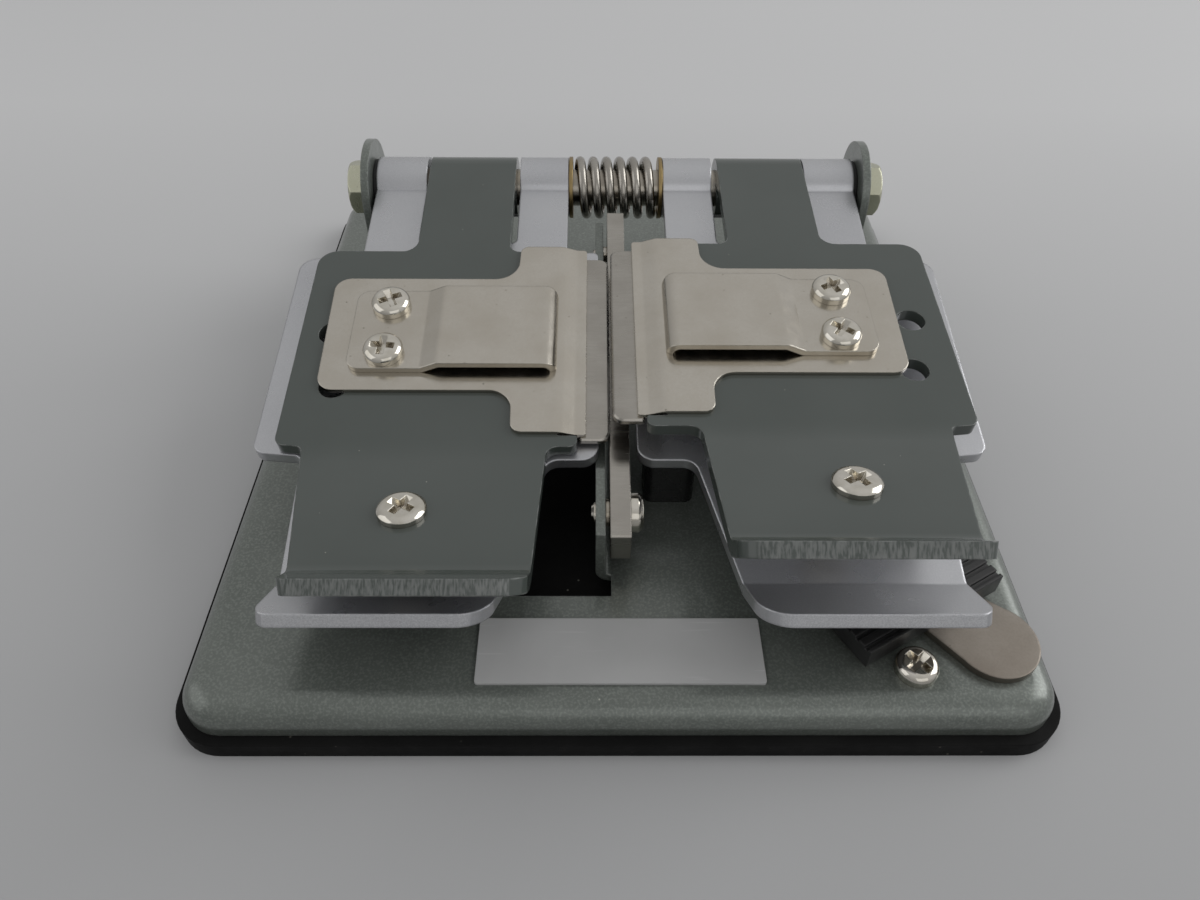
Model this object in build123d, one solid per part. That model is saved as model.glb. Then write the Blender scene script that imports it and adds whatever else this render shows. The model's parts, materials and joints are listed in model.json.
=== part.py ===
"""Film splicer: two pairs of hinged plates on one rear shaft, over a pressed sheet base.

Row frame: origin on the ground under the middle of the mat, +X right, +Y back, +Z up.
Arm frame: the hinge axis is local X, y = -u runs forward along the film bed, z = w stands up
from it. Everything on the hinged plates is drawn there and then tilted into place.
"""
from build123d import *
import os
from math import cos, pi, radians, sin, sqrt, tan

# ---- base ----
MAT_W, MAT_L, MAT_R = 104.0, 114.0, 6.0
MAT_T = 2.5
MAT_CORE_H = 1.5
MAT_CORE_GAP = 0.3
BOSS_R = 2.4
FLANGE = 1.25
BASE_TOP = 7.0
COVER_T = 1.2
COVER_EDGE_R = 3.2
COVER_CORNER_R = 5.0
BEND_R = 0.8
CUT_CLEAR = 0.3

# ---- hinge ----
ARM_X, CLAMP_X = 0.35, 0.15
AXIS_Y, AXIS_Z = 28.7, 24.0
BED_SLOPE = 9.6
SHAFT_R = 2.85
SHAFT_CHAMFER = 0.3
RUN_CLEAR = 0.05
ROLL_SEAM, ROLL_LAP = 0.8, 0.4
SHEET_T = 1.75
EAR_R = 7.4
BOLT_AF = 7.5
BOLT_HEAD_H = 2.9
BOLT_CROWN_R, BOLT_CHAMFER = 4.35, 0.55
BOLT_TURN = 12.0
BOLT_R = 2.0
BOLT_DEEP, BOLT_HOLE_PAST = 8.0, 1.0
WASHER_R = 4.3
WASHER_T = 0.6
PLAY = 0.1

# ---- spacer spring ----
WIRE_D = 1.45
COIL_D = 8.3
COIL_TURNS = 5.75
COIL_END_GAP = 0.05
COLLAR_T = 0.55
COLLAR_R = 4.8

# ---- lower plates, sizes from the centre plane and from the axis ----
LOW_OUT = 46.5
LOW_NECK_OUT = 37.6
LOW_NECK_IN = 7.45
LOW_BODY_REAR = 19.4
LOW_BODY_REAR_IN = 18.0
LOW_FRONT_OUT = 54.2
LOW_FRONT_IN = 55.3
SLOT_U, SLOT_CORNER_R = 16.0, 0.9
SLOT_GAP_IN, SLOT_GAP_OUT = 0.8, 0.35
LOW_TONGUE_IN, LOW_TONGUE_OUT = 9.3, 39.5
LOW_TIP_IN, LOW_TIP_OUT = 16.0, 41.6
LOW_LIP_U = 72.75
LOW_LIP_L = 6.75
LOW_LIP_ANGLE = 33.5
LOW_LIP_R = 1.3
LOW_CORNER_IN_R, LOW_CORNER_OUT_R = 4.0, 1.7
PAST_LIP = 2.0

# ---- upper plates ----
FILM_GAP = 0.3
NECK_IN, NECK_OUT = 15.85, 29.35
UP_OUT = 43.3
UP_BODY_REAR = 20.0
UP_RELIEF_FRONT = 53.0
UP_FRONT = 54.8
UP_TONGUE_IN, UP_TONGUE_OUT = 9.5, 39.85
UP_TIP_IN, UP_TIP_OUT = 10.6, 34.3
UP_CREASE_U, UP_CREASE_R = 55.65, 12.0
TONGUE_BEND = 18.0
UP_LIP_U = 75.9
UP_LIP_L = 6.0
UP_LIP_ANGLE = 38.0
UP_LIP_R = 3.9
UP_CORNER_IN_R, UP_CORNER_OUT_R = 2.8, 1.2
RIGHT_OPEN = 4.0
SIGHT_HOLE_R = 1.9
SIGHT_HOLES = ((38.95, 36.0), (37.4, 45.2))

# ---- what is set out from the parting plane: t outboard, u forward ----
PART_X = -1.4
T_SHEET = 0.6
T_MID_U = 36.2
T_ARM_HALF = 10.0
T_WIDE_HALF = 16.6
T_OUT = 38.45
T_STEM = 13.3
T_IN = 3.2
T_STEP = 0.7
BLADE_IN, BLADE_OUT = 0.12, 4.1
BLADE_T, BLADE_CHAMFER = 0.8, 0.25
BLADE_REAR, BLADE_FRONT = 20.7, 53.2
EDGE_T_UP = 4.3
EDGE_T_RELIEF = 7.0
EDGE_T_LOW = (1.45, 3.45)
PIN_T, PIN_R, PIN_TALL = 10.0, 0.6, 0.9
PIN_CHAMFER, PIN_ROOM = 0.25, 0.6
PIN_PITCH = 18.0

# ---- leaf springs ----
LEAF_T = 0.85
LEAF_W = 13.9
LEAF_U = 36.4
LEAF_TAIL_OUT = 34.6
LEAF_JOG = 24.8
LEAF_JOG_RUN = 2.3
LEAF_PAD_H = 1.9
LEAF_IN = 7.1
LEAF_CORNER_R, LEAF_JOG_R = 1.8, 0.9

# ---- screws ----
SCREW_R = 1.3
PAN_R, PAN_H = 2.6, 1.6
TONGUE_HEAD_R, TONGUE_HEAD_H = 2.85, 1.2
TONGUE_SCREW_R = 1.5
BAR_HEAD_R, BAR_HEAD_H = 2.5, 1.8
BASE_HEAD_R, BASE_HEAD_H = 2.5, 1.8
HEAD_RIM, HEAD_SHOULDER = 0.52, 0.94
RECESS_W, RECESS_L, RECESS_DEEP = 1.05, 3.5, 1.0
CLAMP_SCREW_T, CLAMP_SCREW_PITCH = 29.8, 8.4
TONGUE_SCREW_X, TONGUE_SCREW_U = 25.4, 66.5
NUT_R, NUT_H, NUT_CHAMFER = 2.5, 1.6, 0.4
HOLE_CLEAR = 0.15
THREAD_CLEAR = 0.03

# ---- centre tab and bar ----
BAR_W = 2.55
BAR_H = 5.7
BAR_CHAMFER = 0.25
BAR_REAR_U, BAR_FRONT_U = 8.9, 66.3
SHIM_T = 0.55
SHIM_RIM = 0.4
TAB_CLEAR = 0.3
TAB_EAR_TOP_W = 1.9
TAB_EAR_REAR_U = 56.0
TAB_FRONT_Y, TAB_REAR_Y = -36.4, 19.6
WINDOW_LEFT, WINDOW_RIGHT = -19.8, -1.25
WINDOW_FRONT_Y, WINDOW_REAR_Y = -39.6, 19.9
BAR_SCREW_U, BAR_SCREW_W = 61.25, -0.25
BAR_SCREW_TIP, BAR_TIP_CHAMFER = 0.55, 0.35
BAR_DOWEL_U, BAR_DOWEL_W = 15.0, -0.5
BAR_DOWEL_R, BAR_DOWEL_TIP, BAR_DOWEL_ROUND = 0.75, 0.4, 0.3

# ---- rest buffers ----
BUFFER_W, BUFFER_L, BUFFER_EDGE_R = 6.7, 6.0, 1.2
BUFFER_TOP_R = 0.6
BUFFER_PLUG_R, BUFFER_PLUG_PAST = 1.8, 0.6
BUFFER_GAP = 0.3
BUFFERS = ((6.6, -21.2), (-26.3, -21.2))

# ---- plate and screw at the front, set in from the mat's right and front edges ----
PLATE_X, PLATE_IN = 0.0, 9.5
PLATE_W, PLATE_L, PLATE_T = 33.4, 8.8, 0.4
BASE_SCREW_IN = (17.8, 7.15)

# ---- scraper ----
SCRAPE_ANGLE = 30.3
SCRAPE_IN = (23.9, 6.8)
BLOCK_L, BLOCK_W, BLOCK_T = 21.2, 9.0, 3.0
PADDLE_T = 1.0
PADDLE_LIFT = 0.05
PADDLE_REACH = (16.1, 3.6)
PADDLE_END_R = 5.1
PADDLE_NECK_R, PADDLE_NECK_AT = 3.9, (13.2, 3.5)
PADDLE_INSET = 1.0
RIB_N, RIB_W, RIB_DEEP = 6, 0.55, 0.4
CLIP_T, CLIP_W, CLIP_S = 0.5, 6.0, 12.5
CLIP_GAP = 0.3
CLIP_REACH, CLIP_FOOT = 4.0, 6.5
CLIP_BEHIND, CLIP_BEND_R = 0.6, 0.6
RIVET_R = 0.8
CLIP_RIVET_R, CLIP_HEAD_R, CLIP_HEAD_H, CLIP_HEAD_ROUND = 1.2, 2.0, 0.8, 0.5

KNUCKLE_IN_R = SHAFT_R + RUN_CLEAR
KNUCKLE_R = KNUCKLE_IN_R + SHEET_T
EAR_IN = LOW_NECK_OUT + WASHER_T + PLAY
SLOT_IN, SLOT_OUT = NECK_IN - SLOT_GAP_IN, NECK_OUT + SLOT_GAP_OUT
LOW_PLAN_END = LOW_LIP_U + LOW_LIP_L + PAST_LIP
UP_PLAN_END = UP_LIP_U + UP_LIP_L + PAST_LIP
COIL_ROOM = 2 * (LOW_NECK_IN - PLAY - COLLAR_T - COIL_END_GAP)
COIL_PITCH = (COIL_ROOM - WIRE_D) / COIL_TURNS
UP_W = KNUCKLE_IN_R
BED_W = UP_W - FILM_GAP
UP_TOP = UP_W + SHEET_T
T_TOP = UP_TOP + T_SHEET
LEAF_TOP = T_TOP + LEAF_T
BLADE_BOTTOM = UP_TOP - T_STEP - BLADE_T
COVER_W, COVER_L = MAT_W - 2 * FLANGE, MAT_L - 2 * FLANGE
BASE_SCREW_AT = (MAT_W / 2 - BASE_SCREW_IN[0], BASE_SCREW_IN[1] - MAT_L / 2)
SCRAPE_CORNER = (MAT_W / 2 - SCRAPE_IN[0], SCRAPE_IN[1] - MAT_L / 2)
PADDLE_END = (SCRAPE_CORNER[0] + PADDLE_REACH[0], SCRAPE_CORNER[1] + PADDLE_REACH[1])
BAR_LEFT = PART_X - 0.05
TAB_RIGHT = BAR_LEFT - SHIM_T
TAB_LEFT = TAB_RIGHT - COVER_T
TAB_TOP_W = BED_W - SHEET_T - TAB_CLEAR
BAR_SCREW = (0, -BAR_SCREW_U, BAR_SCREW_W)
BAR_DOWEL = (0, -BAR_DOWEL_U, BAR_DOWEL_W)
TALL = 60.0

parts = {}


# ---- helpers ----
def in_arm(shape, lift=0.0):
    """Tilt something drawn in the arm frame to its place, opened by lift degrees."""
    return on_axis(Rot(BED_SLOPE - lift, 0, 0) * shape)


def on_axis(shape):
    """Set something drawn about the local X axis on the hinge's axis."""
    return Pos(ARM_X, AXIS_Y, AXIS_Z) * shape


def outline(corners, z=-TALL / 2, tall=TALL):
    """Extrude a plan of (x, u, radius) corners into a tall block of the arm frame."""
    points = [(x, -u, z) for x, u, _ in corners]
    radii = [r for _, _, r in corners]
    face = make_face(FilletPolyline(*points, radius=radii, close=True))
    if face.face().normal_at().Z < 0:
        face = -face.face()
    return extrude(face, tall, dir=(0, 0, 1))


def sided(shape, side):
    """Mirror a right-hand drawing onto the left."""
    return shape if side > 0 else mirror(shape, Plane.YZ)


def bent_sheet(route, radii, width, thick, across, start_x=0.0):
    """Sweep a flat strip's section along a side view route of straight runs and arcs."""
    path = FilletPolyline(*route, radius=radii)
    section = Plane(origin=path @ 0, x_dir=across, z_dir=path % 0) * Rectangle(width, thick)
    return Pos(*(start_x * v for v in across)) * sweep(section, path=path)


def disc(radius, height, at=(0, 0, 0)):
    """Upright cylinder that stands on at."""
    return Pos(*at) * Cylinder(radius, height, align=(Align.CENTER, Align.CENTER, Align.MIN))


def across_x(radius, x0, x1, inner=0.0):
    """Cylinder or ring along X between two planes, about the local X axis."""
    ring = Cylinder(radius, x1 - x0)
    if inner:
        ring -= Cylinder(inner, x1 - x0)
    return Pos((x0 + x1) / 2, 0, 0) * Rot(0, 90, 0) * ring


def hexagon(across_flats, height):
    """Hexagon prism that stands on z = 0."""
    return extrude(RegularPolygon(across_flats / 2, 6, major_radius=False), height)


def box(x0, x1, y0, y1, z0, z1):
    """Box between two corners."""
    return Pos((x0 + x1) / 2, (y0 + y1) / 2, (z0 + z1) / 2) * Box(x1 - x0, y1 - y0, z1 - z0)


def cross_recess(head_h, turn):
    """Tapered cross that is cut into a screw head."""
    arms = [Rot(0, 0, turn + a) * Rectangle(RECESS_L, RECESS_W) for a in (0, 90)]
    tips = [Rot(0, 0, turn + a) * Rectangle(RECESS_L * 0.5, RECESS_W * 0.6) for a in (0, 90)]
    cut = Part()
    for top, tip in zip(arms, tips):
        mouth = Pos(0, 0, head_h + 0.05) * top.face()
        cut += loft([mouth, Pos(0, 0, head_h - RECESS_DEEP) * tip.face()])
    return cut


def pan_screw(head_r, head_h, shank_r, shank_l, turn=20.0):
    """Cross-recessed pan head screw: the head stands on z = 0, the shank hangs below."""
    rim, shoulder = (head_r, head_h * HEAD_RIM), (head_r * 0.66, head_h * HEAD_SHOULDER)
    profile = Polyline(rim, (head_r, 0), (0, 0), (0, head_h), shoulder)
    profile += RadiusArc(shoulder, rim, head_r * 0.42)
    head = revolve(Plane.XZ * make_face(profile), Axis.Z)
    head -= cross_recess(head_h, turn)
    return head + disc(shank_r, shank_l + 0.01, (0, 0, -shank_l))


# ---- base ----
def base_mat():
    flat = extrude(RectangleRounded(MAT_W, MAT_L, MAT_R), MAT_T)
    core_w = COVER_W - 2 * COVER_T - 2 * MAT_CORE_GAP
    core_l = COVER_L - 2 * COVER_T - 2 * MAT_CORE_GAP
    core = extrude(RectangleRounded(core_w, core_l, COVER_CORNER_R - COVER_T), MAT_CORE_H)
    core = Pos(0, 0, MAT_T) * core
    boss_h = BASE_TOP - COVER_T - MAT_T
    boss = disc(BOSS_R, boss_h, (*BASE_SCREW_AT, MAT_T))
    return flat + core + boss - disc(SCREW_R + THREAD_CLEAR, TALL, (*BASE_SCREW_AT, MAT_T - 1.0))


def shell():
    """Pressed pan with a rounded top edge, open below."""
    outside = extrude(RectangleRounded(COVER_W, COVER_L, COVER_CORNER_R), BASE_TOP - MAT_T)
    outside = fillet(outside.faces().sort_by(Axis.Z)[-1].edges(), COVER_EDGE_R)
    inside = extrude(
        RectangleRounded(COVER_W - 2 * COVER_T, COVER_L - 2 * COVER_T, COVER_CORNER_R - COVER_T),
        BASE_TOP - MAT_T - COVER_T,
    )
    inside = fillet(inside.faces().sort_by(Axis.Z)[-1].edges(), COVER_EDGE_R - COVER_T)
    return Pos(0, 0, MAT_T) * (outside - inside)


def bent_tab(face_x, toward, thick, y0, y1, top):
    """Tab bent up out of the cover: its flat face at face_x looks towards the sheet it left."""
    reach = BEND_R + thick
    route = [
        (face_x + toward * reach, 0, BASE_TOP - thick / 2),
        (face_x - toward * thick / 2, 0, BASE_TOP - thick / 2),
        (face_x - toward * thick / 2, 0, top),
    ]
    strip = bent_sheet(route, [BEND_R + thick / 2], y1 - y0, thick, (0, 1, 0))
    return Pos(0, (y0 + y1) / 2, 0) * strip


def centre_tab():
    """Tab that carries the bar: its top lies under the bed, with a taller ear at the screw."""
    tab = bent_tab(ARM_X + TAB_RIGHT, 1, COVER_T, TAB_FRONT_Y, TAB_REAR_Y, AXIS_Z)
    tab -= in_arm(box(-TALL, TALL, -TAB_EAR_REAR_U, TALL, TAB_TOP_W, TALL))
    return tab - in_arm(box(-TALL, TALL, -2 * TALL, TALL, TAB_EAR_TOP_W, TALL))


def ear_window(side):
    """Place the ear was bent out of, inboard of it."""
    reach = AXIS_Z + EAR_R - BASE_TOP
    x0, x1 = sorted(ARM_X + side * x for x in (EAR_IN - reach, EAR_IN + COVER_T))
    y0, y1 = AXIS_Y - EAR_R - CUT_CLEAR, AXIS_Y + EAR_R + CUT_CLEAR
    return box(x0, x1, y0, y1, MAT_T, BASE_TOP + 1)


def base_cover():
    cover = shell()
    x0, x1 = ARM_X + WINDOW_LEFT, ARM_X + WINDOW_RIGHT
    cover -= box(x0, x1, WINDOW_FRONT_Y, WINDOW_REAR_Y, MAT_T, BASE_TOP + 1)
    cover += centre_tab()
    for side in (-1, 1):
        cover -= ear_window(side)
        cover += ear_with_foot(side)
    cover -= on_axis(across_x(BOLT_R + RUN_CLEAR, -MAT_W / 2, MAT_W / 2))
    cover -= disc(SCREW_R + HOLE_CLEAR, TALL, (*BASE_SCREW_AT, MAT_T))
    for x, y in BUFFERS:
        cover -= disc(BUFFER_PLUG_R + HOLE_CLEAR, TALL, (ARM_X + x, y, MAT_T))
    cover -= Pos(*clip_point(-CLIP_FOOT / 2), 0) * disc(CLIP_RIVET_R + THREAD_CLEAR, TALL)
    for place, r in ((BAR_SCREW, SCREW_R), (BAR_DOWEL, BAR_DOWEL_R)):
        cover -= in_arm(Pos(*place) * across_x(r + THREAD_CLEAR, TAB_LEFT - 1, TAB_RIGHT + 1))
    return cover


def ear_with_foot(side):
    """Ear whose foot turns outboard into the cover."""
    inner, outer = side * EAR_IN, side * (EAR_IN + COVER_T)
    tab = bent_tab(ARM_X + outer, side, COVER_T, AXIS_Y - EAR_R, AXIS_Y + EAR_R, AXIS_Z)
    return tab + on_axis(across_x(EAR_R, *sorted((inner, outer))))


def name_plate():
    plate = extrude(RectangleRounded(PLATE_W, PLATE_L, 0.4), PLATE_T)
    return Pos(PLATE_X, PLATE_IN - MAT_L / 2, BASE_TOP) * plate


# ---- hinge ----
def hinge_shaft():
    shaft = across_x(SHAFT_R, -EAR_IN, EAR_IN)
    shaft = chamfer(shaft.edges().filter_by(GeomType.CIRCLE), SHAFT_CHAMFER)
    for side in (-1, 1):
        x0, x1 = sorted((side * EAR_IN, side * (EAR_IN - BOLT_DEEP - BOLT_HOLE_PAST)))
        shaft -= across_x(BOLT_R + THREAD_CLEAR, x0, x1)
    return on_axis(shaft)


def hinge_bolts():
    bolts = []
    for side in (-1, 1):
        head = hexagon(BOLT_AF, BOLT_HEAD_H)
        crown = disc(BOLT_CROWN_R, BOLT_HEAD_H)
        head &= chamfer(crown.edges().group_by(Axis.Z)[-1], BOLT_CHAMFER)
        bolt = head + disc(BOLT_R, BOLT_DEEP + COVER_T, (0, 0, -BOLT_DEEP - COVER_T))
        turn = Rot(0, side * 90, 0) * Rot(0, 0, BOLT_TURN * side)
        bolts.append(on_axis(Pos(side * (EAR_IN + COVER_T), 0, 0) * turn * bolt))
    return Compound(children=bolts)


def rings(radius, thick, places, inner):
    """Thin rings round the shaft that start at the given places."""
    return Compound(children=[on_axis(across_x(radius, x, x + thick, inner)) for x in places])


def shaft_washers():
    return rings(WASHER_R, WASHER_T, (-EAR_IN + PLAY / 2, EAR_IN - WASHER_T - PLAY / 2), KNUCKLE_IN_R)


def spring_collars():
    edge = LOW_NECK_IN - PLAY
    return rings(COLLAR_R, COLLAR_T, (-edge, edge - COLLAR_T), KNUCKLE_IN_R)


def biarc(p0, t0, p1, t1):
    """Two arcs that leave p0 along t0 and reach p1 along t1, tangent where they meet."""
    gap, turn = p1 - p0, t0 + t1
    lean = 2 * (1 - t0.dot(t1))
    d = (sqrt(gap.dot(turn) ** 2 + lean * gap.dot(gap)) - gap.dot(turn)) / lean
    middle = (p0 + p1 + (t0 - t1) * d) * 0.5
    joint = (middle - p0).normalized() * 2 * t0.dot((middle - p0).normalized()) - t0
    return [Edge.make_tangent_arc(p0, t0, middle), Edge.make_tangent_arc(middle, joint, p1)]


def coil_point(turn):
    """Point and tangent of the coil's middle line, in the hinge's frame."""
    a = 2 * pi * turn
    r = COIL_D / 2
    climb = COIL_PITCH / (2 * pi)
    start = -COIL_PITCH * COIL_TURNS / 2
    point = Vector(start + COIL_PITCH * turn, r * cos(a), r * sin(a))
    return point, Vector(climb, -r * sin(a), r * cos(a)).normalized()


def coil_edges():
    """Arcs of the coil's middle line, a quarter of a turn to a biarc."""
    edges = []
    for i in range(round(COIL_TURNS * 4)):
        (p0, t0), (p1, t1) = coil_point(i / 4), coil_point((i + 1) / 4)
        edges += biarc(p0, t0, p1, t1)
    return edges


def spacer_spring():
    """Coil of whole curls between the two inner knuckles."""
    path = Wire(coil_edges())
    section = Plane(origin=path @ 0, z_dir=path % 0) * Circle(WIRE_D / 2)
    return on_axis(sweep(section, path=path))


def print_coil_gap():
    """Least distance between neighbouring curls, measured on points of the middle line."""
    per_arc = 6
    points = [edge @ (i / per_arc) for edge in coil_edges() for i in range(per_arc)]
    half_turn = 4 * per_arc
    least = min(
        (points[i] - points[j]).length
        for i in range(len(points))
        for j in range(i + half_turn, len(points))
    )
    print("spring: least gap to itself %.2f mm" % (least - WIRE_D))


# ---- lower plates ----
def knuckle(x0, x1, slit_w):
    """Rolled knuckle round the shaft, with the open seam of the roll at the front."""
    ring = across_x(KNUCKLE_R, x0, x1, KNUCKLE_IN_R)
    half = ROLL_SEAM / 2
    return ring - box(x0 - 1, x1 + 1, -2 * KNUCKLE_R, 0, slit_w - half, slit_w + half)


def lower_plate(side):
    inner = side * PART_X + EDGE_T_LOW[side > 0]
    corners = [
        (LOW_NECK_IN, 0.0, 0.0),
        (LOW_NECK_OUT, 0.0, 0.0),
        (LOW_NECK_OUT, LOW_BODY_REAR, 1.6),
        (LOW_OUT, LOW_BODY_REAR, 2.5),
        (LOW_OUT, LOW_FRONT_OUT, 1.6),
        (LOW_TONGUE_OUT + 0.6, LOW_FRONT_OUT + 0.6, 1.2),
        (LOW_TONGUE_OUT, LOW_LIP_U - 0.6, 2.0),
        (LOW_TIP_OUT, LOW_PLAN_END, 0.0),
        (LOW_TIP_IN, LOW_PLAN_END, 0.0),
        (LOW_TONGUE_IN, LOW_FRONT_IN, 2.0),
        (inner, LOW_FRONT_IN, 2.2),
        (inner, LOW_BODY_REAR_IN, 0.8),
        (LOW_NECK_IN, LOW_BODY_REAR_IN, 0.8),
    ]
    middle = BED_W - SHEET_T / 2
    start = sqrt(KNUCKLE_R**2 - BED_W**2) - ROLL_LAP
    route = flat_and_lip(start, middle, LOW_LIP_U, LOW_LIP_L, LOW_LIP_ANGLE)
    sheet = bent_sheet(route, [LOW_LIP_R], 2 * MAT_W, SHEET_T, (1, 0, 0))
    plate = sheet & outline(corners)
    plate = round_lip(plate, LOW_LIP_ANGLE, LOW_CORNER_IN_R, LOW_CORNER_OUT_R)
    slot = [
        (SLOT_IN, -TALL, 0),
        (SLOT_OUT, -TALL, 0),
        (SLOT_OUT, SLOT_U, SLOT_CORNER_R),
        (SLOT_IN, SLOT_U, SLOT_CORNER_R),
    ]
    plate -= outline(slot)
    plate += knuckle(LOW_NECK_IN, SLOT_IN, 0.3)
    plate += knuckle(SLOT_OUT, LOW_NECK_OUT, 0.3)
    for u in pin_places():
        plate -= disc(PIN_R + THREAD_CLEAR, TALL, (PIN_T + side * PART_X, -u, -TALL / 2))
    return sided(plate, side)


def flat_and_lip(start_u, w, lip_u, lip_l, angle, crease_u=None, bend=0.0):
    """Side view of a plate: flat, an optional bend up, and the lip bent up further."""
    points = [(0, -start_u, w)]
    if crease_u:
        points.append((0, -crease_u, w))
    rise = (lip_u - crease_u) * tan(radians(bend)) if crease_u else 0.0
    points.append((0, -lip_u, w + rise))
    a = radians(angle + bend)
    points.append((0, -lip_u - lip_l * cos(a), w + rise + lip_l * sin(a)))
    return points


def round_lip(plate, angle, inner_r, outer_r):
    """Round the two corners of a lip that leans up by angle, seen square to the lip."""
    a = radians(angle)
    for pick, r in ((0, inner_r), (-1, outer_r)):
        tip = plate.faces().sort_by(Axis((0, 0, 0), (0, -cos(a), sin(a))))[-1]
        corner = tip.edges().filter_by(Axis.X, reverse=True).sort_by(Axis.X)[pick]
        plate = fillet(corner, r)
    return plate


def pin_places():
    """Rows of the two register pins on each bed."""
    return (T_MID_U - PIN_PITCH / 2, T_MID_U + PIN_PITCH / 2)


def register_pins(side):
    """Two pins that locate the film's perforations."""
    pins = []
    for u in pin_places():
        pin = disc(PIN_R, SHEET_T + PIN_TALL, (PIN_T + side * PART_X, -u, BED_W - SHEET_T))
        pins.append(chamfer(pin.edges().group_by(Axis.Z)[-1], PIN_CHAMFER))
    return Compound(children=[sided(pin, side) for pin in pins])


# ---- upper plates ----
def upper_plate(side):
    edge = side * PART_X + EDGE_T_UP
    relief = side * PART_X + EDGE_T_RELIEF
    corners = [
        (NECK_IN, 0.0, 0.0),
        (NECK_OUT, 0.0, 0.0),
        (NECK_OUT, UP_BODY_REAR, 2.2),
        (UP_OUT, UP_BODY_REAR, 2.8),
        (UP_OUT, UP_FRONT - 0.4, 1.2),
        (UP_TONGUE_OUT, UP_FRONT, 0.9),
        (UP_TIP_OUT, UP_PLAN_END, 0.0),
        (UP_TIP_IN, UP_PLAN_END, 0.0),
        (UP_TONGUE_IN, UP_FRONT - 0.1, 1.6),
        (edge, UP_FRONT - 0.1, 1.0),
        (edge, UP_RELIEF_FRONT, 0.3),
        (relief, UP_RELIEF_FRONT, 0.5),
        (relief, UP_BODY_REAR, 1.5),
        (NECK_IN, UP_BODY_REAR, 1.5),
    ]
    middle = UP_W + SHEET_T / 2
    ends = (0.0, middle, UP_LIP_U, UP_LIP_L)
    route = flat_and_lip(*ends, UP_LIP_ANGLE, UP_CREASE_U, TONGUE_BEND)
    sheet = bent_sheet(route, [UP_CREASE_R, UP_LIP_R], 2 * MAT_W, SHEET_T, (1, 0, 0))
    plate = sheet & outline(corners)
    plate = round_lip(plate, UP_LIP_ANGLE + TONGUE_BEND, UP_CORNER_IN_R, UP_CORNER_OUT_R)
    plate += knuckle(NECK_IN, NECK_OUT, UP_W - 1.0)
    for x, u in SIGHT_HOLES:
        plate -= disc(SIGHT_HOLE_R, TALL, (x, -u, -TALL / 2))
    for u in pin_places():
        plate -= disc(PIN_R + PIN_ROOM, TALL, (PIN_T + side * PART_X, -u, -TALL / 2))
    for u in clamp_screw_places():
        plate -= disc(SCREW_R + THREAD_CLEAR, TALL, (CLAMP_SCREW_T + side * PART_X, -u, -TALL / 2))
    plate -= on_tongue(disc(TONGUE_SCREW_R + THREAD_CLEAR, 6 * SHEET_T, (0, 0, -3 * SHEET_T)))
    return sided(plate, side)


def on_tongue(shape):
    """Set something on the top face of a tongue at its screw, square to the tongue."""
    rise = (TONGUE_SCREW_U - UP_CREASE_U) * tan(radians(TONGUE_BEND))
    middle = UP_W + SHEET_T / 2 + rise
    place = Pos(TONGUE_SCREW_X, -TONGUE_SCREW_U, middle) * Rot(-TONGUE_BEND, 0, 0)
    return place * Pos(0, 0, SHEET_T / 2) * shape


def clamp_screw_places():
    """Rows of the two screws that hold a pressure plate."""
    return (LEAF_U - CLAMP_SCREW_PITCH / 2, LEAF_U + CLAMP_SCREW_PITCH / 2)


def pressure_plate(side):
    """T-shaped plate on top of the upper plate, stepped down onto the blade strip."""
    shift = side * PART_X
    low, high = T_MID_U + T_WIDE_HALF, T_MID_U - T_WIDE_HALF
    arm_low, arm_high = T_MID_U + T_ARM_HALF, T_MID_U - T_ARM_HALF
    corners = [
        (T_IN, high, 0.5),
        (T_STEM - 0.6, high, 1.2),
        (T_STEM - 0.4, arm_high, 3.4),
        (T_OUT, arm_high, 2.2),
        (T_OUT - 0.4, arm_low, 2.2),
        (T_STEM - 0.4, arm_low, 3.0),
        (T_STEM - 0.6, low, 1.4),
        (T_IN, low, 0.3),
    ]
    top = UP_TOP + T_SHEET / 2
    foot = top - T_STEP
    route = [(T_OUT + 2, 0, top), (T_IN + 3.5, 0, top), (T_IN + 1.4, 0, foot), (T_IN - 1, 0, foot)]
    sheet = bent_sheet(route, [3.0, 1.2], 2 * T_WIDE_HALF + 4, T_SHEET, (0, 1, 0))
    plate = Pos(0, -T_MID_U, 0) * sheet & outline(corners)
    for u in clamp_screw_places():
        hole = SCREW_R + HOLE_CLEAR
        slot = Pos(CLAMP_SCREW_T, -u, 0) * extrude(SlotOverall(2 * hole + 2.0, 2 * hole), TALL / 2)
        plate -= slot
    return sided(Pos(shift, 0, 0) * plate, side)


def blade(side):
    """Hardened strip under the stepped edge of the pressure plate."""
    x0, x1 = BLADE_IN + side * PART_X, BLADE_OUT + side * PART_X
    corners = [
        (x0, BLADE_REAR, 1.4),
        (x1, BLADE_REAR, 0.4),
        (x1, BLADE_FRONT, 0.4),
        (x0, BLADE_FRONT, 1.4),
    ]
    strip = outline(corners, BLADE_BOTTOM, BLADE_T)
    edge = strip.edges().filter_by(Axis.Y).group_by(Axis.Z)[-1].sort_by(Axis.X)[0]
    return sided(chamfer(edge, BLADE_CHAMFER), side)


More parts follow.
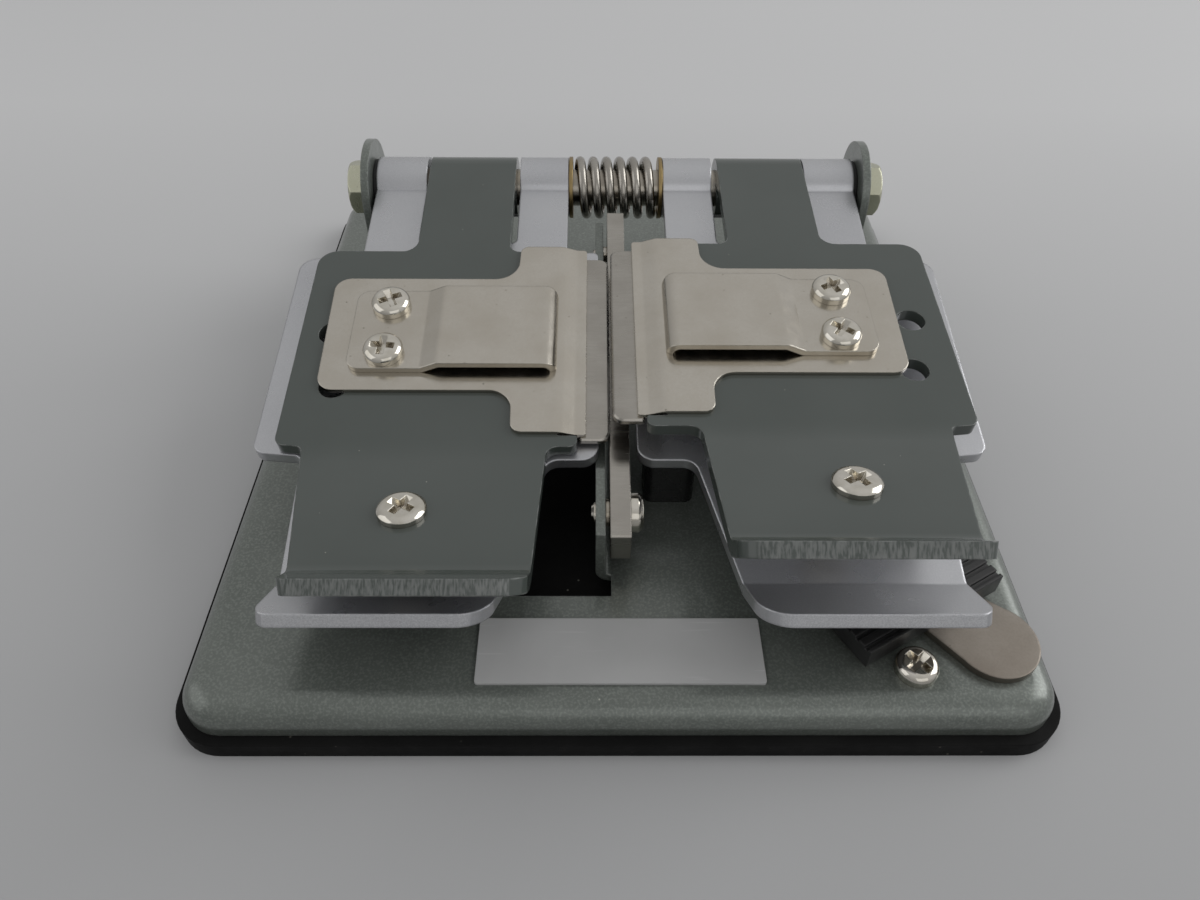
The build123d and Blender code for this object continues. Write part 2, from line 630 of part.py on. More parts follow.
def leaf_spring(side):
    """Strip under two screws: it steps up to a pad, and its inner end turns down onto the plate."""
    low = T_TOP + LEAF_T / 2
    high = T_TOP + LEAF_PAD_H - LEAF_T / 2
    end = LEAF_IN + LEAF_T / 2
    route = [
        (LEAF_TAIL_OUT, 0, low),
        (LEAF_JOG, 0, low),
        (LEAF_JOG - LEAF_JOG_RUN, 0, high),
        (end, 0, high),
        (end, 0, T_TOP),
    ]
    radii = [LEAF_JOG_R, LEAF_JOG_R, high - T_TOP - 0.1]
    strip = bent_sheet(route, radii, LEAF_W, LEAF_T, (0, 1, 0))
    half = LEAF_W / 2
    corners = ((LEAF_IN - 0.5, -half), (LEAF_TAIL_OUT, -half), (LEAF_TAIL_OUT, half), (LEAF_IN - 0.5, half))
    plan = [(x, u, LEAF_CORNER_R) for x, u in corners]
    spring = Pos(0, -LEAF_U, 0) * (strip & outline(plan))
    for u in clamp_screw_places():
        spring -= disc(SCREW_R + HOLE_CLEAR, TALL, (CLAMP_SCREW_T, -u, 0))
    return sided(Pos(side * PART_X, 0, 0) * spring, side)


def clamp_screws(side):
    """Two pan head screws through leaf spring and pressure plate into the upper plate."""
    made = []
    for n, u in enumerate(clamp_screw_places()):
        screw = pan_screw(PAN_R, PAN_H, SCREW_R, LEAF_TOP - UP_W, turn=25 + 30 * n * side)
        place = (side * (CLAMP_SCREW_T + side * PART_X), -u, LEAF_TOP)
        made.append(Pos(*place) * screw)
    return Compound(children=made)


def tongue_screw(side):
    """Pan head screw with the round nut it is riveted into under the tongue."""
    screw = pan_screw(TONGUE_HEAD_R, TONGUE_HEAD_H, TONGUE_SCREW_R, SHEET_T, turn=30)
    nut = disc(NUT_R, NUT_H, (0, 0, -SHEET_T - NUT_H))
    nut = chamfer(nut.edges().group_by(Axis.Z)[0], NUT_CHAMFER)
    return sided(on_tongue(screw + nut), side)


# ---- centre bar ----
def centre_bar():
    bar = box(BAR_LEFT, BAR_LEFT + BAR_W, -BAR_FRONT_U, -BAR_REAR_U, BED_W - BAR_H, BED_W)
    bar = chamfer(bar.edges().filter_by(Axis.X), BAR_CHAMFER)
    for place, r in ((BAR_SCREW, SCREW_R), (BAR_DOWEL, BAR_DOWEL_R)):
        bar -= Pos(*place) * across_x(r + THREAD_CLEAR, BAR_LEFT - 1, BAR_LEFT + BAR_W + 1)
    return in_arm(bar)


def bar_shims():
    """Thin rings that keep the bar off its tab."""
    made = []
    for place, r in ((BAR_SCREW, SCREW_R + THREAD_CLEAR), (BAR_DOWEL, BAR_DOWEL_R + THREAD_CLEAR)):
        ring = across_x(r + SHIM_RIM, TAB_RIGHT, TAB_RIGHT + SHIM_T, r)
        made.append(in_arm(Pos(*place) * ring))
    return Compound(children=made)


def bar_screw():
    """Screw through the bar into the tab, its tip just showing on the far side."""
    grip = BAR_LEFT + BAR_W - TAB_LEFT + BAR_SCREW_TIP
    screw = pan_screw(BAR_HEAD_R, BAR_HEAD_H, SCREW_R, grip, turn=15)
    screw = chamfer(screw.edges().group_by(Axis.Z)[0], BAR_TIP_CHAMFER)
    return in_arm(Pos(BAR_LEFT + BAR_W, 0, 0) * Pos(*BAR_SCREW) * Rot(0, 90, 0) * screw)


def bar_dowel():
    dowel = across_x(BAR_DOWEL_R, TAB_LEFT - BAR_DOWEL_TIP, BAR_LEFT + BAR_W)
    dowel = fillet(dowel.edges().sort_by(Axis.X)[0], BAR_DOWEL_ROUND)
    return in_arm(Pos(*BAR_DOWEL) * dowel)


# ---- rest buffers ----
def rest_buffers():
    """Blocks plugged into the cover, cut parallel to the bed just under it."""
    above = in_arm(box(-TALL, TALL, -2 * TALL, TALL, BED_W - SHEET_T - BUFFER_GAP, TALL))
    made = []
    for x, y in BUFFERS:
        block = extrude(RectangleRounded(BUFFER_W, BUFFER_L, BUFFER_EDGE_R), AXIS_Z)
        block = Pos(ARM_X + x, y, BASE_TOP) * block - above
        block = fillet(block.faces().sort_by(Axis.Z)[-1].edges(), BUFFER_TOP_R)
        plug_h = COVER_T + BUFFER_PLUG_PAST
        made.append(block + disc(BUFFER_PLUG_R, plug_h, (ARM_X + x, y, BASE_TOP - plug_h)))
    return Compound(children=made)


# ---- scraper ----
def scrape_frame(along, back):
    """Row position of a point that lies along the block and back from its front edge."""
    a = radians(SCRAPE_ANGLE)
    x = SCRAPE_CORNER[0] + along * cos(a) - back * sin(a)
    y = SCRAPE_CORNER[1] + along * sin(a) + back * cos(a)
    return x, y


def clip_point(behind):
    """Row position behind the block's rear edge, in line with the clip."""
    return scrape_frame(CLIP_S, BLOCK_W - behind)


def scraper_block():
    block = Pos(BLOCK_L / 2, BLOCK_W / 2, 0) * extrude(Rectangle(BLOCK_L, BLOCK_W), BLOCK_T)
    pitch = BLOCK_W / RIB_N
    for n in range(RIB_N):
        y = (n + 0.5) * pitch
        block -= box(-1, BLOCK_L + 1, y - RIB_W / 2, y + RIB_W / 2, BLOCK_T - RIB_DEEP, BLOCK_T + 1)
    block = set_scraper(block, PADDLE_T)
    for along in rivet_places():
        block -= Pos(*scrape_frame(along, BLOCK_W / 2), 0) * disc(RIVET_R + THREAD_CLEAR, TALL)
    return block


def set_scraper(shape, lift):
    """Stand something drawn along the block's front edge on the base, lifted by lift."""
    z = BASE_TOP + PADDLE_LIFT + lift
    return Pos(*SCRAPE_CORNER, z) * Rot(0, 0, SCRAPE_ANGLE) * shape


def rivet_places():
    """Distances along the block of the rivets that hold the paddle."""
    return (BLOCK_L * 0.3, BLOCK_L * 0.7)


def scraper_paddle():
    """Strip under the block that runs out into a rounded finger tab."""
    z = BASE_TOP + PADDLE_LIFT
    strip = extrude(Rectangle(BLOCK_L - 2 * PADDLE_INSET, BLOCK_W - 2 * PADDLE_INSET), PADDLE_T)
    under = set_scraper(Pos(BLOCK_L / 2, BLOCK_W / 2, 0) * strip, 0)
    neck = scrape_frame(*PADDLE_NECK_AT)
    round_neck = disc(PADDLE_NECK_R, PADDLE_T, (*neck, z))
    round_end = disc(PADDLE_END_R, PADDLE_T, (*PADDLE_END, z))
    run = Vector(*PADDLE_END) - Vector(*neck)
    side = Vector(-run.Y, run.X).normalized()
    near, far = side * PADDLE_NECK_R, side * PADDLE_END_R
    start, end = Vector(*neck, z), Vector(*PADDLE_END, z)
    flanks = Polyline(start + near, end + far, end - far, start - near, close=True)
    web = extrude(make_face(flanks), PADDLE_T, dir=(0, 0, 1))
    paddle = under + web + round_neck + round_end
    for along in rivet_places():
        paddle -= Pos(*scrape_frame(along, BLOCK_W / 2), 0) * disc(RIVET_R + THREAD_CLEAR, TALL)
    return paddle


def scraper_rivets():
    z = BASE_TOP + PADDLE_LIFT
    tall = PADDLE_T + BLOCK_T - RIB_DEEP
    made = [disc(RIVET_R, tall, (*scrape_frame(along, BLOCK_W / 2), z)) for along in rivet_places()]
    return Compound(children=made)


def scraper_clip():
    """Leaf behind the block that hooks over its rear edge."""
    foot = CLIP_T / 2
    over = PADDLE_LIFT + PADDLE_T + BLOCK_T + CLIP_GAP + CLIP_T / 2
    back = BLOCK_W + CLIP_BEHIND + CLIP_T / 2
    route = [
        (0, back + CLIP_FOOT, foot),
        (0, back, foot),
        (0, back, over),
        (0, BLOCK_W - CLIP_REACH, over),
    ]
    leaf = bent_sheet(route, [CLIP_BEND_R] * 2, CLIP_W, CLIP_T, (1, 0, 0))
    leaf = Pos(*SCRAPE_CORNER, BASE_TOP) * Rot(0, 0, SCRAPE_ANGLE) * Pos(CLIP_S, 0, 0) * leaf
    return leaf - Pos(*clip_point(-CLIP_FOOT / 2), 0) * disc(CLIP_RIVET_R + THREAD_CLEAR, TALL)


def clip_rivet():
    x, y = clip_point(-CLIP_FOOT / 2)
    shank = disc(CLIP_RIVET_R, COVER_T + CLIP_T, (x, y, BASE_TOP - COVER_T))
    head = disc(CLIP_HEAD_R, CLIP_HEAD_H, (x, y, BASE_TOP + CLIP_T))
    return shank + fillet(head.edges().group_by(Axis.Z)[-1], CLIP_HEAD_ROUND)


def base_screw():
    shank = BASE_TOP - MAT_T - 0.4
    screw = pan_screw(BASE_HEAD_R, BASE_HEAD_H, SCREW_R, shank, turn=40)
    return Pos(*BASE_SCREW_AT, BASE_TOP) * screw


# ---- build ----
parts["base_mat"] = base_mat()
parts["base_cover"] = base_cover()
parts["name_plate"] = name_plate()
parts["base_screw"] = base_screw()
parts["hinge_shaft"] = hinge_shaft()
parts["hinge_bolts"] = hinge_bolts()
parts["shaft_washers"] = shaft_washers()
parts["spring_collars"] = spring_collars()
parts["spacer_spring"] = spacer_spring()
parts["centre_bar"] = centre_bar()
parts["bar_shims"] = bar_shims()
parts["bar_screw"] = bar_screw()
parts["bar_dowel"] = bar_dowel()
parts["rest_buffers"] = rest_buffers()
parts["scraper_block"] = scraper_block()
parts["scraper_paddle"] = scraper_paddle()
parts["scraper_rivets"] = scraper_rivets()
parts["scraper_clip"] = scraper_clip()
parts["clip_rivet"] = clip_rivet()

for name, side, lift in (("left", -1, 0.0), ("right", 1, RIGHT_OPEN)):
    parts[name + "_lower_plate"] = in_arm(lower_plate(side))
    parts[name + "_register_pins"] = in_arm(register_pins(side))
    upper = {
        "_upper_plate": upper_plate(side),
        "_pressure_plate": pressure_plate(side),
        "_blade": blade(side),
        "_leaf_spring": leaf_spring(side),
        "_clamp_screws": clamp_screws(side),
        "_tongue_screw": tongue_screw(side),
    }
    for piece, shape in upper.items():
        parts[name + piece] = in_arm(Pos(CLAMP_X, 0, 0) * shape, lift)

os.makedirs("parts", exist_ok=True)
for node, shape in parts.items():
    export_step(shape, "parts/%s.step" % node)
print_coil_gap()
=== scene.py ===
import json
import math

import bpy
from mathutils import Matrix, Vector

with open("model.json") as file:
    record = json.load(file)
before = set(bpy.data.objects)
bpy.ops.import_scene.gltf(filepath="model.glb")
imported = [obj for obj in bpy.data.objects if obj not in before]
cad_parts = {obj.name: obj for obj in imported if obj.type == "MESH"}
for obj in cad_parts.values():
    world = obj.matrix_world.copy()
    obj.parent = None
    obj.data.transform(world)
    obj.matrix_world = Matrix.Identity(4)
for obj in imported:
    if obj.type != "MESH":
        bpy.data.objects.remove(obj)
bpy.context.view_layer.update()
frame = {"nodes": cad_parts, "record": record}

nodes = frame["nodes"]
MM = 0.001

# lips of the plates, degrees above level at rest, and the plane they lie in front of, mm
LEFT_UPPER_LIP, RIGHT_UPPER_LIP, LOWER_LIP = 46.4, 50.4, 23.9
LIPS_Y = -40.0

# camera, mm and degrees
CAMERA_AT = (-3.34, -105.52, 99.95)
CAMERA_PITCH, CAMERA_YAW, CAMERA_ROLL = 45.55, 0.73, 0.64
SENSOR_WIDTH, LENS = 36.0, 27.35

# light: name, place in m, size in m, power in W
LAMPS = (
    ("right", (0.86, 0.20, 0.52), (0.7, 0.7), 4.2),
    ("left", (-0.85, -0.15, 0.5), (0.9, 0.8), 1.4),
    ("front", (0.30, -0.90, 0.50), (0.9, 0.6), 0.8),
)
LAMPS_AIM = (0, 0, 0.015)
WORLD_STRENGTH = 0.64
FLOOR_REACH = 2.5


# ---- small node-graph helpers ----
class Graph:
    """A material's node tree with short calls for what the finishes need."""

    def __init__(self, name):
        self.material = bpy.data.materials.new(name)
        self.material.use_nodes = True
        self.tree = self.material.node_tree
        self.shader = self.tree.nodes["Principled BSDF"]
        frame_of = self.new("ShaderNodeTexCoord")
        self.place, self.facing = frame_of.outputs["Object"], frame_of.outputs["Normal"]

    def new(self, kind, **settings):
        node = self.tree.nodes.new(kind)
        for key, value in settings.items():
            setattr(node, key, value)
        return node

    def link(self, source, target):
        self.tree.links.new(source, target)

    def noise(self, size_mm, detail=2.0, stretch=(1, 1, 1), turn=0.0):
        """Noise whose grain is about size_mm, drawn out along an axis by stretch."""
        mapping = self.new("ShaderNodeMapping")
        mapping.inputs["Scale"].default_value = [1 / s for s in stretch]
        mapping.inputs["Rotation"].default_value = (0, 0, math.radians(turn))
        noise = self.new("ShaderNodeTexNoise")
        noise.inputs["Scale"].default_value = 1000.0 / size_mm
        noise.inputs["Detail"].default_value = detail
        self.link(self.place, mapping.inputs["Vector"])
        self.link(mapping.outputs["Vector"], noise.inputs["Vector"])
        return noise.outputs["Fac"]

    def specks(self, pitch_mm, share, size_mm=0.12):
        """Small round specks in about that share of the cells, one cell to a pitch."""
        cells = self.new("ShaderNodeTexVoronoi")
        cells.inputs["Scale"].default_value = 1000.0 / pitch_mm
        self.link(self.place, cells.inputs["Vector"])
        reach = size_mm / pitch_mm
        near = self.span(cells.outputs["Distance"], reach, reach / 2, 0.0, 1.0)
        split = self.new("ShaderNodeSeparateColor")
        self.link(cells.outputs["Color"], split.inputs["Color"])
        few = self.span(split.outputs["Red"], share, share * 0.7, 0.0, 1.0)
        return self.math("MULTIPLY", near, few)

    def span(self, value, low, high, out_low, out_high):
        """Map a value's range onto another, clamped."""
        node = self.new("ShaderNodeMapRange")
        limits = {"From Min": low, "From Max": high, "To Min": out_low, "To Max": out_high}
        for key, number in limits.items():
            node.inputs[key].default_value = number
        self.link(value, node.inputs["Value"])
        return node.outputs["Result"]

    def math(self, operation, a, b):
        node = self.new("ShaderNodeMath", operation=operation)
        for slot, value in zip(node.inputs, (a, b)):
            if isinstance(value, (int, float)):
                slot.default_value = value
            else:
                self.link(value, slot)
        return node.outputs[0]

    def mix(self, amount, a, b):
        """Colour a where amount is 0, b where it is 1."""
        node = self.new("ShaderNodeMix", data_type="RGBA")
        self.link(amount, node.inputs[0])
        for slot, value in ((node.inputs[6], a), (node.inputs[7], b)):
            if isinstance(value, tuple):
                slot.default_value = (*value, 1.0)
            else:
                self.link(value, slot)
        return node.outputs[2]

    def edges(self, radius_mm, amount=1.0):
        """1 along sharp edges, 0 on the flat."""
        soft = self.new("ShaderNodeBevel", samples=4)
        soft.inputs["Radius"].default_value = radius_mm * MM
        flat = self.new("ShaderNodeNewGeometry")
        dot = self.new("ShaderNodeVectorMath", operation="DOT_PRODUCT")
        self.link(soft.outputs["Normal"], dot.inputs[0])
        self.link(flat.outputs["Normal"], dot.inputs[1])
        return self.span(dot.outputs["Value"], 0.98, 0.8, 0.0, amount)

    def faces(self, direction, least=0.9):
        """1 on faces that look along a direction of the shared frame, at rest."""
        dot = self.new("ShaderNodeVectorMath", operation="DOT_PRODUCT")
        dot.inputs[1].default_value = Vector(direction).normalized()
        self.link(self.facing, dot.inputs[0])
        return self.span(dot.outputs["Value"], least, least + 0.04, 0.0, 1.0)

    def ahead_of(self, y_mm, over_mm=3.0):
        """0 behind a plane across the shared frame, rising to 1 in front of it."""
        split = self.new("ShaderNodeSeparateXYZ")
        self.link(self.place, split.inputs[0])
        return self.span(split.outputs["Y"], y_mm * MM, (y_mm - over_mm) * MM, 0.0, 1.0)

    def nooks(self, reach_mm, low=0.25, high=0.75):
        """1 in recesses and where pieces meet, 0 in the open."""
        shade = self.new("ShaderNodeAmbientOcclusion", samples=8)
        shade.inputs["Distance"].default_value = reach_mm * MM
        return self.span(shade.outputs["AO"], high, low, 0.0, 1.0)

    def relief(self, height, depth_mm, round_mm=0.0, strength=1.0):
        """Bump from a height, over edges rounded by the given radius."""
        bump = self.new("ShaderNodeBump")
        bump.inputs["Strength"].default_value = strength
        bump.inputs["Distance"].default_value = depth_mm * MM
        self.link(height, bump.inputs["Height"])
        if round_mm:
            soft = self.new("ShaderNodeBevel", samples=6)
            soft.inputs["Radius"].default_value = round_mm * MM
            self.link(soft.outputs["Normal"], bump.inputs["Normal"])
        self.link(bump.outputs["Normal"], self.shader.inputs["Normal"])

    def set(self, **values):
        """Plain numbers straight onto the shader's own sockets."""
        for key, value in values.items():
            self.shader.inputs[key.replace("_", " ")].default_value = value

    def colour(self, source):
        self.link(source, self.shader.inputs["Base Color"])

    def roughness(self, source):
        self.link(source, self.shader.inputs["Roughness"])


# ---- finishes ----
def lip_end(angle):
    """Way that the cut end of a front lip looks, with the lip angle degrees above level."""
    return 0, -math.cos(math.radians(angle)), math.sin(math.radians(angle))


def hammered_paint():
    """Grey-green metallic paint of the base, fine-grained, with a little wear on the rim."""
    g = Graph("base_paint_finish")
    g.set(Metallic=0.45, Coat_Weight=0.5, Coat_Roughness=0.16)
    flow = g.span(g.noise(9.0, 3.0), 0.3, 0.7, 0.0, 1.0)
    body = g.mix(flow, (0.118, 0.132, 0.118), (0.145, 0.160, 0.144))
    grain = g.span(g.noise(0.3, 1.0), 0.45, 0.7, 0.0, 0.4)
    body = g.mix(grain, body, (0.26, 0.285, 0.26))
    body = g.mix(g.specks(2.6, 0.12, 0.13), body, (0.42, 0.42, 0.37))
    lightened_edges = g.math("MULTIPLY", g.edges(0.3, 0.5), g.span(g.noise(1.2, 3.0), 0.45, 0.6, 0.2, 1.0))
    g.colour(g.mix(lightened_edges, body, (0.40, 0.41, 0.39)))
    g.roughness(g.span(g.noise(3.0), 0.3, 0.7, 0.30, 0.38))
    g.relief(g.noise(0.8, 2.0), 0.04, 0.3, 0.45)
    return g.material


def satin_paint():
    """Dark grey-green paint of the upper plates, with dust, and with lightened edges that are partly
    wear and partly a painted highlight; their undersides are bare.
    """
    g = Graph("arm_paint_finish")
    g.set(IOR=1.55)
    flow = g.span(g.noise(16.0, 3.0), 0.3, 0.7, 0.0, 1.0)
    body = g.mix(flow, (0.056, 0.066, 0.060), (0.064, 0.074, 0.068))
    scuffed = g.span(g.noise(0.22, 3.0, (1, 5, 5)), 0.4, 0.66, 0.0, 0.8)
    scuffed = g.math("MULTIPLY", scuffed, g.ahead_of(LIPS_Y))
    for end in (lip_end(LEFT_UPPER_LIP), lip_end(RIGHT_UPPER_LIP)):
        body = g.mix(g.math("MULTIPLY", g.faces(end), scuffed), body, (0.15, 0.158, 0.152))
    body = g.mix(g.specks(2.3, 0.2, 0.09), body, (0.36, 0.35, 0.31))
    # Lightened edges: partly wear, partly a painted highlight of the light caught along the rounded
    # edges.
    lightened_edges = g.math("MULTIPLY", g.edges(0.22), g.span(g.noise(1.6, 4.0), 0.46, 0.6, 0.1, 0.9))
    body = g.mix(lightened_edges, body, (0.30, 0.31, 0.30))
    under = g.faces((0, -0.1, -1), 0.6)
    g.colour(g.mix(under, body, (0.62, 0.625, 0.64)))
    g.link(g.math("MULTIPLY", under, 0.3), g.shader.inputs["Metallic"])
    gloss = g.span(g.noise(5.0, 3.0), 0.3, 0.7, 0.12, 0.18)
    g.roughness(g.math("ADD", gloss, g.math("MULTIPLY", under, 0.2)))
    g.relief(g.noise(1.2, 1.0), 0.006, 0.3, 0.15)
    return g.material


def satin_plating():
    """Pale grey plating of the lower plates: smooth on the flat, grained on the lips' cut ends."""
    g = Graph("bed_plating_finish")
    g.set(Metallic=0.85)
    flow = g.span(g.noise(14.0, 3.0), 0.3, 0.7, 0.0, 1.0)
    body = g.mix(flow, (0.46, 0.465, 0.485), (0.50, 0.505, 0.52))
    grain = g.span(g.noise(0.15, 1.0), 0.42, 0.62, 0.0, 0.3)
    body = g.mix(grain, body, (0.60, 0.60, 0.615))
    cut = g.math("MULTIPLY", g.faces(lip_end(LOWER_LIP)), g.ahead_of(LIPS_Y))
    pits = g.span(g.noise(0.16, 2.0), 0.4, 0.6, 0.1, 0.6)
    body = g.mix(g.math("MULTIPLY", cut, pits), body, (0.68, 0.685, 0.70))
    body = g.mix(g.specks(2.4, 0.1, 0.12), body, (0.26, 0.25, 0.24))
    g.colour(body)
    sheen = g.span(g.noise(4.0, 2.0), 0.3, 0.7, 0.26, 0.32)
    g.roughness(g.math("ADD", sheen, g.math("MULTIPLY", cut, 0.25)))
    depth = g.span(cut, 0.0, 1.0, 0.08, 1.0)
    g.relief(g.math("MULTIPLY", g.noise(0.2, 2.0), depth), 0.05, 0.35, 0.5)
    return g.material


def nickel(name, colour, shade, rough, along=(1, 1, 1), spots=0.5):
    """Satin nickel: slow change of tone, brown tarnish and painted shade in the corners, a few dark
    specks, round edges.
    """
    g = Graph(name)
    g.set(Metallic=1.0)
    slow = g.span(g.noise(6.0, 3.0), 0.35, 0.7, 0.0, 0.7)
    body = g.mix(slow, colour, shade)
    fine = g.span(g.noise(0.3, 2.0, along), 0.4, 0.65, 0.0, 0.25)
    body = g.mix(fine, body, shade)
    # Brown tarnish in the corners, with painted shade: darker where pieces meet and down in recesses.
    body = g.mix(g.math("MULTIPLY", g.nooks(1.4, 0.1, 0.55), 0.5), body, (0.33, 0.25, 0.13))
    patch = g.span(g.noise(7.0), 0.45, 0.6, 0.0, spots)
    body = g.mix(g.math("MULTIPLY", g.specks(1.1, 0.3, 0.17), patch), body, (0.10, 0.085, 0.06))
    g.colour(body)
    g.roughness(g.span(g.noise(1.5, 3.0, along), 0.3, 0.7, *rough))
    g.relief(g.noise(0.5, 1.0, along), 0.004, 0.25, 0.4)
    return g.material


def screw_plating():
    """Bright plated screw heads, darker, browner and rougher down in the cross and where they meet
    other parts.
    """
    g = Graph("screw_finish")
    g.set(Metallic=1.0)
    slow = g.span(g.noise(1.6, 2.0), 0.35, 0.7, 0.0, 0.8)
    body = g.mix(slow, (0.66, 0.63, 0.57), (0.52, 0.49, 0.42))
    # Darker, browner and rougher in the cross recess and where the head meets the part under it.
    recessed = g.nooks(0.9, 0.2, 0.6)
    patchy = g.span(g.noise(0.25, 2.0), 0.4, 0.6, 0.6, 1.0)
    g.colour(g.mix(g.math("MULTIPLY", recessed, patchy), body, (0.13, 0.085, 0.045)))
    sheen = g.span(g.noise(0.8, 2.0), 0.3, 0.7, 0.07, 0.14)
    g.roughness(g.math("ADD", sheen, g.math("MULTIPLY", recessed, 0.5)))
    g.relief(g.noise(0.4, 1.0), 0.004, 0.12, 0.4)
    return g.material


def rubber():
    """Black moulded rubber with pale dust in its pores."""
    g = Graph("mat_rubber_finish")
    g.set(Metallic=0.0, Specular_IOR_Level=0.1)
    flow = g.span(g.noise(10.0, 3.0), 0.35, 0.7, 0.0, 1.0)
    body = g.mix(flow, (0.0045, 0.0045, 0.0045), (0.009, 0.009, 0.0088))
    patch = g.span(g.noise(5.0), 0.48, 0.6, 0.1, 0.8)
    dust = g.math("MULTIPLY", g.specks(1.3, 0.25, 0.16), patch)
    g.colour(g.mix(dust, body, (0.20, 0.19, 0.165)))
    g.roughness(g.span(g.noise(2.0, 3.0), 0.3, 0.7, 0.55, 0.7))
    g.relief(g.noise(0.6, 2.0), 0.05, 0.3, 0.5)
    return g.material


def black(name, rough, grain_mm):
    """Moulded black plastic or fibre, from glossy to satin."""
    g = Graph(name)
    g.set(Metallic=0.0)
    flow = g.span(g.noise(4.0, 2.0), 0.35, 0.7, 0.0, 1.0)
    body = g.mix(flow, (0.007, 0.007, 0.007), (0.014, 0.014, 0.014))
    g.colour(g.mix(g.specks(1.2, 0.15, 0.1), body, (0.16, 0.155, 0.14)))
    g.roughness(g.span(g.noise(1.5, 2.0), 0.3, 0.7, rough, rough + 0.12))
    g.relief(g.noise(grain_mm, 2.0), 0.02, 0.3, 0.4)
    return g.material


def bare_plate():
    """Satin plate with faint scratches, left bare."""
    g = Graph("plate_blank_finish")
    g.set(Metallic=0.1)
    flow = g.span(g.noise(11.0, 3.0), 0.35, 0.7, 0.0, 1.0)
    body = g.mix(flow, (0.42, 0.422, 0.42), (0.46, 0.462, 0.46))
    scratch = g.span(g.noise(0.5, 1.0, (18, 1, 1), 24.0), 0.68, 0.74, 0.0, 0.35)
    body = g.mix(scratch, body, (0.58, 0.58, 0.58))
    g.colour(g.mix(g.specks(1.8, 0.15, 0.13), body, (0.10, 0.10, 0.095)))
    g.roughness(g.span(g.noise(1.2, 2.0), 0.3, 0.7, 0.38, 0.46))
    g.relief(g.noise(0.25, 1.0), 0.004, 0.15, 0.4)
    return g.material


FINISHES = {
    "mat_rubber": rubber(),
    "base_paint": hammered_paint(),
    "arm_paint": satin_paint(),
    "bed_plating": satin_plating(),
    "nickel": nickel("nickel_finish", (0.53, 0.50, 0.445), (0.46, 0.425, 0.365), (0.17, 0.26)),
    "bright_steel": nickel(
        "steel_finish", (0.40, 0.38, 0.345), (0.31, 0.29, 0.26), (0.18, 0.3), (9, 1, 9), 0.3
    ),
    "zinc": nickel(
        "zinc_finish", (0.60, 0.60, 0.48), (0.46, 0.46, 0.34), (0.26, 0.38), spots=0.3
    ),
    "brass": nickel(
        "brass_finish", (0.36, 0.27, 0.13), (0.22, 0.16, 0.08), (0.28, 0.4), spots=0.3
    ),
    "black_gloss": black("black_gloss_finish", 0.2, 2.0),
    "black_block": black("black_block_finish", 0.38, 0.5),
    "dark_fibre": black("dark_fibre_finish", 0.55, 0.3),
    "plate_blank": bare_plate(),
    "screws": screw_plating(),
    "paddle": nickel(
        "paddle_finish", (0.26, 0.235, 0.205), (0.18, 0.155, 0.13), (0.32, 0.44), spots=0.9
    ),
}
SLOT_OF = {entry["node"]: entry["material_slot"] for entry in frame["record"]["subparts"]}

for name, obj in nodes.items():
    own = "paddle" if name == "scraper_paddle" else SLOT_OF[name]
    finish = FINISHES["screws" if name.endswith(("screw", "screws")) else own]
    if obj.material_slots:
        for slot in obj.material_slots:
            slot.material = finish
    else:
        obj.data.materials.append(finish)


# ---- floor, light and camera ----
def floor():
    mesh = bpy.data.meshes.new("floor")
    corners = [(FLOOR_REACH * x, FLOOR_REACH * y, 0) for x, y in ((-1, -1), (1, -1), (1, 1), (-1, 1))]
    mesh.from_pydata(corners, [], [(0, 1, 2, 3)])
    obj = bpy.data.objects.new("floor", mesh)
    bpy.context.collection.objects.link(obj)
    g = Graph("floor_finish")
    slow = g.span(g.noise(300.0, 2.0), 0.3, 0.7, 0.0, 1.0)
    body = g.mix(slow, (0.55, 0.552, 0.557), (0.58, 0.582, 0.587))
    # Painted shade: the floor's colour darkens towards the front, standing in for the light falling
    # off there.
    g.colour(g.mix(g.ahead_of(110.0, 200.0), body, (0.37, 0.372, 0.377)))
    g.set(Roughness=0.7, Specular_IOR_Level=0.3)
    obj.data.materials.append(g.material)


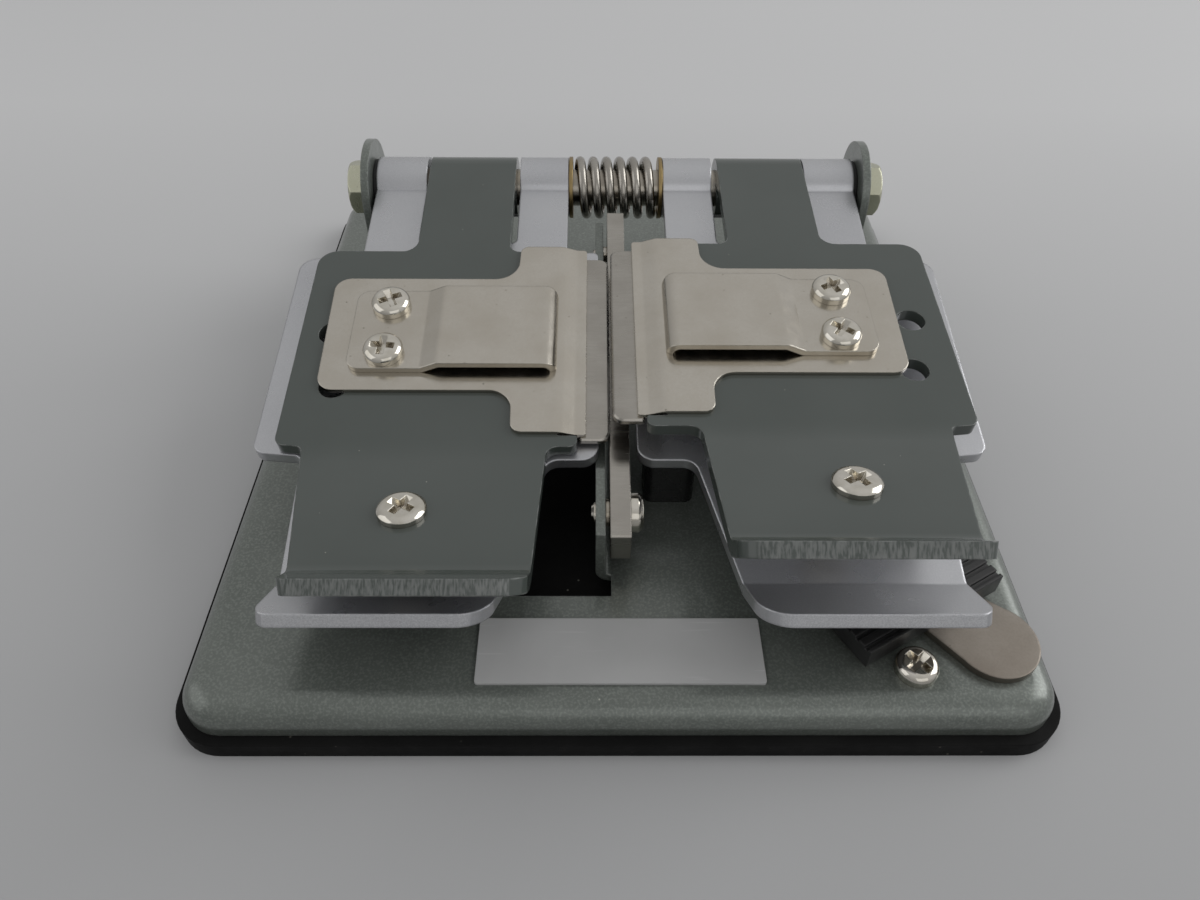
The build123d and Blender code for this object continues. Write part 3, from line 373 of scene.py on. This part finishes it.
def soft_light(name, at, size, watts):
    lamp = bpy.data.lights.new(name, "AREA")
    lamp.shape = "RECTANGLE"
    lamp.size, lamp.size_y = size
    lamp.energy = watts
    obj = bpy.data.objects.new(name, lamp)
    obj.location = at
    aim = Vector(LAMPS_AIM) - Vector(at)
    obj.rotation_euler = aim.to_track_quat("-Z", "Y").to_euler()
    bpy.context.collection.objects.link(obj)


def world_light(strength):
    """Even grey surround, palest overhead and towards the back right."""
    world = bpy.data.worlds.new("studio")
    bpy.context.scene.world = world
    world.use_nodes = True
    tree = world.node_tree
    back = tree.nodes["Background"]
    place = tree.nodes.new("ShaderNodeTexCoord")
    dot = tree.nodes.new("ShaderNodeVectorMath")
    dot.operation = "DOT_PRODUCT"
    dot.inputs[1].default_value = Vector((0.35, 0.25, 0.9)).normalized()
    ramp = tree.nodes.new("ShaderNodeMapRange")
    limits = {"From Min": -0.4, "From Max": 1.0, "To Min": 0.5, "To Max": 1.0}
    for key, number in limits.items():
        ramp.inputs[key].default_value = number
    tree.links.new(place.outputs["Generated"], dot.inputs[0])
    tree.links.new(dot.outputs["Value"], ramp.inputs["Value"])
    tree.links.new(ramp.outputs["Result"], back.inputs["Color"])
    back.inputs["Strength"].default_value = strength


def camera():
    """Camera where the photographer stood, found from the object's own corners."""
    pitch, yaw, roll = (math.radians(a) for a in (CAMERA_PITCH, CAMERA_YAW, CAMERA_ROLL))
    level_run = math.cos(pitch)
    ahead = Vector((math.sin(yaw) * level_run, math.cos(yaw) * level_run, -math.sin(pitch)))
    level = Vector((math.cos(yaw), -math.sin(yaw), 0))
    up = level.cross(ahead)
    right = level * math.cos(roll) + up * math.sin(roll)
    up = up * math.cos(roll) - level * math.sin(roll)
    data = bpy.data.cameras.new("camera")
    data.sensor_width = SENSOR_WIDTH
    data.lens = LENS
    data.clip_start = 0.005
    obj = bpy.data.objects.new("camera", data)
    place = Matrix((right, up, -ahead)).transposed().to_4x4()
    place.translation = Vector(CAMERA_AT) * MM
    obj.matrix_world = place
    bpy.context.collection.objects.link(obj)
    bpy.context.scene.camera = obj


floor()
world_light(WORLD_STRENGTH)
for lamp in LAMPS:
    soft_light(*lamp)
camera()
bpy.context.scene.view_settings.view_transform = "Standard"
